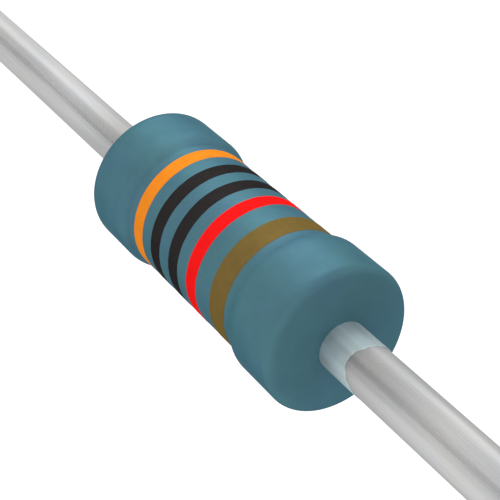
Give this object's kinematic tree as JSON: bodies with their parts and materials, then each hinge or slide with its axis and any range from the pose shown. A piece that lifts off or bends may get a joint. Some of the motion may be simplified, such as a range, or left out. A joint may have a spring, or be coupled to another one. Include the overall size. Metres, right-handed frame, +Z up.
{
  "type": "axial resistor",
  "caption": "Small axial film resistor: a coated, colour-banded body with rounded ends and a straight wire lead out of each end.",
  "frame": {"origin": "centre of the body, on the axis of the leads", "axes": "+X along the leads, towards the end with the wide, set-apart band; +Z up; the body is round about X"},
  "size_m": [0.026, 0.0016, 0.0016],
  "materials": {
    "ceramic": "matte",
    "resistive_film": "satin",
    "cap_steel": "satin",
    "tinned_wire": "satin",
    "undercoat": "satin",
    "blue_coat": "satin",
    "orange_paint": "satin",
    "black_paint": "satin",
    "red_paint": "satin",
    "brown_paint": "satin"
  },
  "bodies": {
    "root": {"ceramic_rod": "ceramic", "resistive_film": "resistive_film", "left_end_cap": "cap_steel", "right_end_cap": "cap_steel", "left_lead": "tinned_wire", "right_lead": "tinned_wire", "undercoat": "undercoat", "coating": "blue_coat", "first_digit_band": "orange_paint", "second_digit_band": "black_paint", "third_digit_band": "black_paint", "multiplier_band": "red_paint", "tolerance_band": "brown_paint"}
  },
  "joints": []
}
